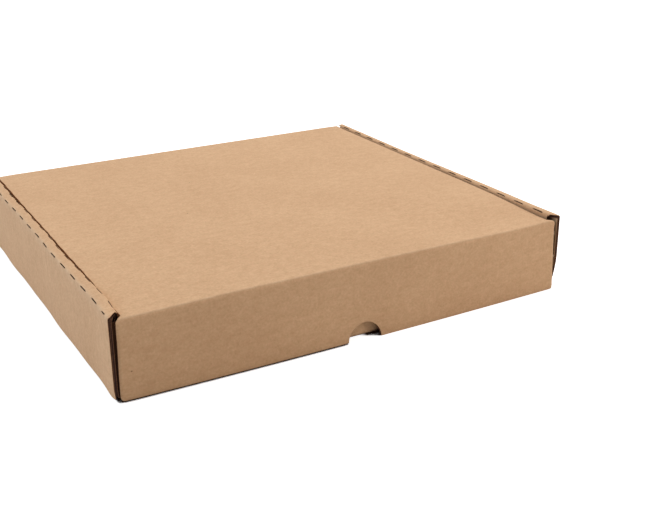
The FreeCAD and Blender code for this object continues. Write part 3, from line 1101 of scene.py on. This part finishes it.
kraft = {
    "light": (234, 196, 155),
    "deep": (200, 159, 120),
    "rosy": (212, 160, 124),
    "fibreLight": (238, 206, 168),
    "fibreDark": (158, 114, 76),
    # colour of the painted highlight
    "paintedTone": (230, 200, 166),
    "speck": (112, 76, 50),
    # colours of painted shade, the second also for narrow gaps
    "paintedShade": (140, 98, 64),
    "cavity": (58, 29, 14),
    "toneShares": (0.25, 0.35, 0.4),  # how far clouds, mottle and grain each lighten the paper
    "cloudScale": 18,
    "mottleScale": 230,
    "rosyScale": 300,
    "rosyShare": 0.2,
    "grainScale": 620,
    "fibreScale": 1300,
    "fibreShare": 0.34,
    "spot": (-148.5, 18.75),  # where on the flap the one larger speck sits
    "spotSize": 0.7,
    "speckScale": 70,
    "speckSize": 0.045,
    "speckRarity": 0.93,
    "roughness": 0.9,
    "washboard": 0.03,
    "fibreBump": 0.06,
    "mottleBump": 0.03,
    "sheen": 0.03,
}


def mixColour(tree, factor, a, b):
    made = node(tree, "ShaderNodeMix", data_type="RGBA")
    for socket, value in ((made.inputs[0], factor), (made.inputs[6], a), (made.inputs[7], b)):
        if isinstance(value, bpy.types.NodeSocket):
            link(tree, value, socket)
        else:
            socket.default_value = value
    return made.outputs[2]


def noiseNode(tree, vector, scale, detail, stretch=(1, 1, 1)):
    mapping = node(tree, "ShaderNodeMapping")
    mapping.inputs["Scale"].default_value = stretch
    link(tree, vector, mapping.inputs["Vector"])
    made = node(tree, "ShaderNodeTexNoise")
    made.inputs["Scale"].default_value = scale
    made.inputs["Detail"].default_value = detail
    made.inputs["Roughness"].default_value = 0.6
    link(tree, mapping.outputs[0], made.inputs["Vector"])
    return made.outputs["Fac"]


def rampNode(tree, value, low, high):
    made = node(tree, "ShaderNodeMapRange", clamp=True)
    made.inputs["From Min"].default_value = low
    made.inputs["From Max"].default_value = high
    link(tree, value, made.inputs["Value"])
    return made.outputs["Result"]


def inCavities(tree, colour, cavity, openAt):
    # narrow gaps and folds gather brown shade
    openness = node(tree, "ShaderNodeAmbientOcclusion", samples=6)
    openness.inputs["Distance"].default_value = 0.007
    share = rampNode(tree, openness.outputs["AO"], 0.04, openAt)
    return mixColour(tree, share, srgb(cavity), colour)


def makeKraft(name, values):
    finish = bpy.data.materials.new(name)
    finish.use_nodes = True
    tree = finish.node_tree
    shader = tree.nodes["Principled BSDF"]
    uv = node(tree, "ShaderNodeUVMap", uv_map="blank").outputs[0]
    clouds = rampNode(tree, noiseNode(tree, uv, values["cloudScale"], 4), 0.3, 0.7)
    mottle = rampNode(tree, noiseNode(tree, uv, values["mottleScale"], 3, (0.7, 1, 1)), 0.28, 0.72)
    grain = rampNode(tree, noiseNode(tree, uv, values["grainScale"], 2), 0.3, 0.7)
    shares = zip((clouds, mottle, grain), values["toneShares"])
    tone = sumOf(tree, *(productOf(tree, pattern, share) for pattern, share in shares))
    colour = mixColour(tree, tone, srgb(values["deep"]), srgb(values["light"]))
    rosy = rampNode(tree, noiseNode(tree, uv, values["rosyScale"], 3, (1, 0.8, 1)), 0.42, 0.68)
    colour = mixColour(tree, productOf(tree, rosy, values["rosyShare"]), colour, srgb(values["rosy"]))
    fibres = noiseNode(tree, uv, values["fibreScale"], 4, (0.3, 1, 1))
    crossed = noiseNode(tree, uv, values["fibreScale"], 4, (1, 0.35, 1))
    share = values["fibreShare"]
    pale = productOf(tree, rampNode(tree, fibres, 0.56, 0.74), share)
    dark = productOf(tree, rampNode(tree, crossed, 0.58, 0.78), share)
    colour = mixColour(tree, pale, colour, srgb(values["fibreLight"]))
    colour = mixColour(tree, dark, colour, srgb(values["fibreDark"]))
    cells = node(tree, "ShaderNodeTexVoronoi")
    cells.inputs["Scale"].default_value = values["speckScale"]
    link(tree, uv, cells.inputs["Vector"])
    chosen = node(tree, "ShaderNodeSeparateColor")
    link(tree, cells.outputs["Color"], chosen.inputs[0])
    rare = mathNode(tree, "GREATER_THAN", chosen.outputs[0], values["speckRarity"])
    size = values["speckSize"]
    dot = mathNode(tree, "SUBTRACT", 1.0, rampNode(tree, cells.outputs["Distance"], size * 0.4, size))
    colour = mixColour(tree, productOf(tree, rare, dot, 0.75), colour, srgb(values["speck"]))
    spot = node(tree, "ShaderNodeVectorMath", operation="DISTANCE")
    link(tree, uv, spot.inputs[0])
    spot.inputs[1].default_value = (values["spot"][0] * mm, -alongFlap(values["spot"][1]) * mm, 0)
    size = values["spotSize"] * mm
    spotted = rampNode(tree, spot.outputs["Value"], size, size * 0.4)
    colour = mixColour(tree, productOf(tree, spotted, 0.7), colour, srgb(values["speck"]))
    # painted light from the mesh: above 0 a painted highlight, below 0 painted shade, below -1 the darkest
    # painted shade
    paintedTone = node(tree, "ShaderNodeAttribute", attribute_name="paintedLight").outputs["Fac"]
    patchy = productOf(tree, paintedTone, sumOf(tree, productOf(tree, mottle, 0.5), 0.25))
    colour = mixColour(tree, mathNode(tree, "MAXIMUM", patchy, 0.0), colour, srgb(values["paintedTone"]))
    colour = mixColour(tree, rampNode(tree, paintedTone, 0.0, -1.0), colour, srgb(values["paintedShade"]))
    colour = mixColour(tree, rampNode(tree, paintedTone, -1.0, -2.0), colour, srgb(values["cavity"]))
    colour = inCavities(tree, colour, values["cavity"], 0.5)
    link(tree, colour, shader.inputs["Base Color"])
    shader.inputs["Roughness"].default_value = values["roughness"]
    shader.inputs["Specular IOR Level"].default_value = 0.25
    shader.inputs["Sheen Weight"].default_value = values["sheen"]
    shader.inputs["Sheen Roughness"].default_value = 0.6
    parts = node(tree, "ShaderNodeSeparateXYZ")
    link(tree, uv, parts.inputs[0])
    turns = productOf(tree, parts.outputs[1], 2 * math.pi / (flute["pitch"] * mm))
    height = sumOf(
        tree,
        productOf(tree, mathNode(tree, "SINE", turns), values["washboard"]),
        productOf(tree, fibres, values["fibreBump"]),
        productOf(tree, mottle, values["mottleBump"]),
    )
    bump = node(tree, "ShaderNodeBump")
    bump.inputs["Strength"].default_value = 1.0
    bump.inputs["Distance"].default_value = mm
    link(tree, height, bump.inputs["Height"])
    link(tree, bump.outputs[0], shader.inputs["Normal"])
    return finish


def makeCore(name, values):
    # paper seen in the open edges, which needs no UV map
    finish = bpy.data.materials.new(name)
    finish.use_nodes = True
    tree = finish.node_tree
    shader = tree.nodes["Principled BSDF"]
    place = node(tree, "ShaderNodeTexCoord").outputs["Object"]
    grain = rampNode(tree, noiseNode(tree, place, 900, 4), 0.3, 0.7)
    colour = mixColour(tree, grain, srgb(values["deep"]), srgb(values["light"]))
    colour = inCavities(tree, colour, values["cavity"], 0.7)
    link(tree, colour, shader.inputs["Base Color"])
    shader.inputs["Roughness"].default_value = 0.92
    bump = node(tree, "ShaderNodeBump")
    bump.inputs["Distance"].default_value = 0.1 * mm
    link(tree, grain, bump.inputs["Height"])
    link(tree, bump.outputs[0], shader.inputs["Normal"])
    return finish


def makeCores(colours):
    return [makeCore(name, dict(zip(("light", "deep", "cavity"), v))) for name, v in colours.items()]


shade = kraft["cavity"]
# the tray's and flap's cut edges are painted shade: darker copies of the lid's cut liner, core and
# corrugated paper
trayCutLinerPaintedShade, trayCorePaintedShade, trayMediumPaintedShade, lidCutLiner, lidCore, lidMedium, tornPaper = makeCores(
    {
        "trayCutLinerPaintedShade": ((150, 104, 72), (108, 70, 46), shade),
        "trayCorePaintedShade": ((70, 38, 22), (46, 23, 11), shade),
        "trayMediumPaintedShade": ((120, 80, 54), (84, 52, 32), shade),
        "lidCutLiner": ((232, 186, 136), (206, 156, 108), (206, 146, 94)),
        "lidCore": ((216, 162, 112), (186, 132, 88), (190, 130, 80)),
        "lidMedium": ((226, 176, 124), (200, 148, 100), (198, 138, 86)),
        "tornPaper": ((240, 216, 184), (216, 186, 150), (150, 110, 80)),
    }
)
liners = [
    makeKraft("kraftOuterLiner", kraft),
    makeKraft("kraftInnerLiner", dict(kraft, light=(206, 168, 130), deep=(194, 155, 118))),
]
trayFinishes = liners + [trayCutLinerPaintedShade, trayCorePaintedShade]
lidFinishes = liners + [lidCutLiner, lidCore]
print("finishes made")

traySheet = newSheet()
makeSidePanels(traySheet)
makeEndWall(traySheet, box["wallFace"], 1.0, wallJoint, False)
makeEndWall(traySheet, box["backFace"], -1.0, backJoint, True)
trayPiece = closeSheet(traySheet, "foldedTray", trayFinishes)
lidSheet, lidPiece = makeLidPanel("lidPanel", lidFinishes)
lidCrease = makeLidCrease("lidCrease", lidFinishes)
flapCrease = makeFlapCrease("flapCrease", trayFinishes)
flapSheet, flapPiece = makeFlapPanel("flapPanel", trayFinishes)

fluteTree = buildFluteTree()
trayFlutes = makeFlutes("trayFlutes", [traySheet], fluteTree, trayMediumPaintedShade)
lidFlutes = makeFlutes("lidFlutes", [lidSheet], fluteTree, lidMedium)
flapFlutes = makeFlutes("flapFlutes", [flapSheet], fluteTree, trayMediumPaintedShade)

tufts = makeTufts("flapTufts", tornPaper)

for piece, cadNode, body in (
    (trayPiece, "tray", "tray"),
    (lidPiece, "lid", "lid"),
    (flapPiece, "front_flap", "front_flap"),
):
    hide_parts(cadNode)
    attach(piece, body)
edges = ((trayFlutes, "tray"), (lidFlutes, "lid"), (flapFlutes, "front_flap"), (tufts, "front_flap"))
for piece, body in edges:
    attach(piece, body)
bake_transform(lidCrease)
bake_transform(flapCrease)
print("pieces tied to their bodies")


# Floor, light and camera

studio = {
    "floorHalf": 6.0,
    "floorColour": 0.8,
    "floorWhite": 0.85,
    "contactReach": 0.008,
    "contactColour": (70, 42, 28),
    "roomColour": (1.0, 0.91, 0.83),
    "roomStrength": 0.36,
}


# Painted shadow: where the floor darkens at the box's foot, in metres; each pair fades in from its first
# value
contact = {
    "touching": (0.66, 0.46),  # openness of the floor, 1 where nothing is near
    "front": (-0.137, -0.141),
    "leftHalf": (-0.009, -0.01),
    "rightShare": 0.1,
    "bow": 0.0875,  # the flap's foot bows back towards its ends by this times the square of x
    "footLine": 0.1475,
    "leftOffset": 0.0009,
    "behindFoot": (-0.0004, 0.0002),
    "notchMiddle": 0.0022,
    "besideNotch": (0.0116, 0.0122),
    "leftEnd": (-0.1584, -0.1574),
    "gapEnd": (-0.149, -0.153),
    "narrow": (0.47, 0.3),
    "notchEnclosed": (0.76, 0.6),
    "notchLine": 0.1412,
    "notchSlant": 0.6,
    "notchTurn": 0.004,
    "notchDepth": (-0.0006, 0.0008),
    "notchAcross": ((0.002, 0.007), (0.022, 0.019)),
    "notchBack": ((-0.1474, -0.1466), (-0.128, -0.134)),
}


def contactShade(tree, place, openness):
    # painted shadow: a thin dark line along the flap's bowed foot, the gap at its left end and the thumb
    # notch's corner
    v = contact
    x, y = place.outputs[0], place.outputs[1]
    leftHalf = rampNode(tree, x, *v["leftHalf"])
    bow = productOf(tree, mathNode(tree, "POWER", x, 2.0), v["bow"])
    depth = sumOf(tree, mathNode(tree, "SUBTRACT", y, bow), v["footLine"])
    depth = sumOf(tree, depth, productOf(tree, leftHalf, v["leftOffset"]))
    fromNotch = mathNode(tree, "ABSOLUTE", mathNode(tree, "SUBTRACT", x, v["notchMiddle"]))
    footLine = productOf(
        tree,
        rampNode(tree, openness, *v["touching"]),
        rampNode(tree, y, *v["front"]),
        sumOf(tree, productOf(tree, leftHalf, 1 - v["rightShare"]), v["rightShare"]),
        rampNode(tree, depth, *v["behindFoot"]),
        rampNode(tree, fromNotch, *v["besideNotch"]),
        rampNode(tree, x, *v["leftEnd"]),
    )
    slant = productOf(tree, mathNode(tree, "SUBTRACT", x, v["notchTurn"]), v["notchSlant"])
    inNotch = productOf(
        tree,
        rampNode(tree, sumOf(tree, y, v["notchLine"], slant), *v["notchDepth"]),
        *(rampNode(tree, x, *limits) for limits in v["notchAcross"]),
        *(rampNode(tree, y, *limits) for limits in v["notchBack"]),
        rampNode(tree, openness, *v["notchEnclosed"]),
    )
    atGap = productOf(
        tree,
        rampNode(tree, openness, *v["narrow"]),
        rampNode(tree, x, *v["leftEnd"]),
        rampNode(tree, x, *v["gapEnd"]),
    )
    return mathNode(tree, "MAXIMUM", mathNode(tree, "MAXIMUM", footLine, inNotch), atGap)


def seenDirectly(tree):
    # 1 for camera, mirrored and refracted rays, which see pure white round the box
    path = node(tree, "ShaderNodeLightPath")
    seen = mathNode(tree, "MAXIMUM", path.outputs["Is Camera Ray"], path.outputs["Is Glossy Ray"])
    return mathNode(tree, "MAXIMUM", seen, path.outputs["Is Transmission Ray"])


def makeFloor():
    half = studio["floorHalf"]
    corners = [(-half, -half, 0), (half, -half, 0), (half, half, 0), (-half, half, 0)]
    mesh = bpy.data.meshes.new("studioFloor")
    mesh.from_pydata(corners, [], [(0, 1, 2, 3)])
    floor = bpy.data.objects.new("studioFloor", mesh)
    scene.collection.objects.link(floor)
    finish = bpy.data.materials.new("paleFloor")
    finish.use_nodes = True
    tree = finish.node_tree
    tree.nodes.clear()
    pale = node(tree, "ShaderNodeBsdfDiffuse")
    openness = node(tree, "ShaderNodeAmbientOcclusion", samples=8)
    openness.inputs["Distance"].default_value = studio["contactReach"]
    place = node(tree, "ShaderNodeSeparateXYZ")
    link(tree, node(tree, "ShaderNodeTexCoord").outputs["Object"], place.inputs[0])
    shade = contactShade(tree, place, openness.outputs["AO"])
    floorColour = (studio["floorColour"],) * 3 + (1,)
    colour = mixColour(tree, shade, floorColour, srgb(studio["contactColour"]))
    link(tree, colour, pale.inputs["Color"])
    glow = node(tree, "ShaderNodeEmission")
    clear = mathNode(tree, "SUBTRACT", 1.0, shade)
    strength = productOf(tree, seenDirectly(tree), clear, studio["floorWhite"])
    link(tree, strength, glow.inputs["Strength"])
    both = node(tree, "ShaderNodeAddShader")
    link(tree, pale.outputs[0], both.inputs[0])
    link(tree, glow.outputs[0], both.inputs[1])
    link(tree, both.outputs[0], node(tree, "ShaderNodeOutputMaterial").inputs["Surface"])
    mesh.materials.append(finish)


def makeRoom():
    world = bpy.data.worlds.new("softRoom")
    scene.world = world
    world.use_nodes = True
    tree = world.node_tree
    tree.nodes.clear()
    room = node(tree, "ShaderNodeBackground")
    room.inputs["Color"].default_value = studio["roomColour"] + (1,)
    room.inputs["Strength"].default_value = studio["roomStrength"]
    white = node(tree, "ShaderNodeBackground")
    white.inputs["Color"].default_value = (1, 1, 1, 1)
    mix = node(tree, "ShaderNodeMixShader")
    link(tree, seenDirectly(tree), mix.inputs[0])
    link(tree, room.outputs[0], mix.inputs[1])
    link(tree, white.outputs[0], mix.inputs[2])
    link(tree, mix.outputs[0], node(tree, "ShaderNodeOutputWorld").inputs["Surface"])


lamps = {
    "overhead": {"at": (0.2, 0.3, 1.7), "size": 1.4, "power": 12.8, "colour": (0.98, 0.99, 1.0)},
    "leftSoftbox": {"at": (-1.7, 0.42, 0.8), "size": 1.1, "power": 10.4, "colour": (0.68, 0.82, 1.0)},
    "rightSoftbox": {"at": (1.5, 0.7, 0.9), "size": 1.0, "power": 6, "colour": (1, 0.99, 0.98)},
    "frontFill": {"at": (0.62, -0.7, 0.3), "size": 0.3, "power": 1.5, "colour": (1, 0.93, 0.88)},
}


def makeLamps():
    for name, v in lamps.items():
        lamp = bpy.data.lights.new(name, "AREA")
        lamp.shape = "DISK"
        lamp.size, lamp.energy, lamp.color = v["size"], v["power"], v["colour"]
        holder = bpy.data.objects.new(name, lamp)
        scene.collection.objects.link(holder)
        holder.location = v["at"]
        holder.rotation_euler = (-Vector(v["at"])).to_track_quat("-Z", "Y").to_euler()


view = {
    "lens": 55.06,
    "at": (-0.30089, -0.63274, 0.28731),
    "yaw": 29.87,
    "pitch": 21.791,
    "roll": -0.259,
}


def makeCamera():
    data = bpy.data.cameras.new("photoCamera")
    data.sensor_fit = "HORIZONTAL"
    data.sensor_width = 36
    data.lens = view["lens"]
    data.clip_start = 0.01
    camera = bpy.data.objects.new("photoCamera", data)
    scene.collection.objects.link(camera)
    turn = Matrix.Rotation(math.radians(-view["yaw"]), 4, "Z")
    turn = turn @ Matrix.Rotation(math.radians(90 - view["pitch"]), 4, "X")
    turn = turn @ Matrix.Rotation(math.radians(view["roll"]), 4, "Z")
    camera.matrix_world = Matrix.Translation(view["at"]) @ turn
    scene.camera = camera


makeFloor()
makeRoom()
makeLamps()
makeCamera()
scene.view_settings.view_transform = "Standard"
print("floor, light and camera placed")
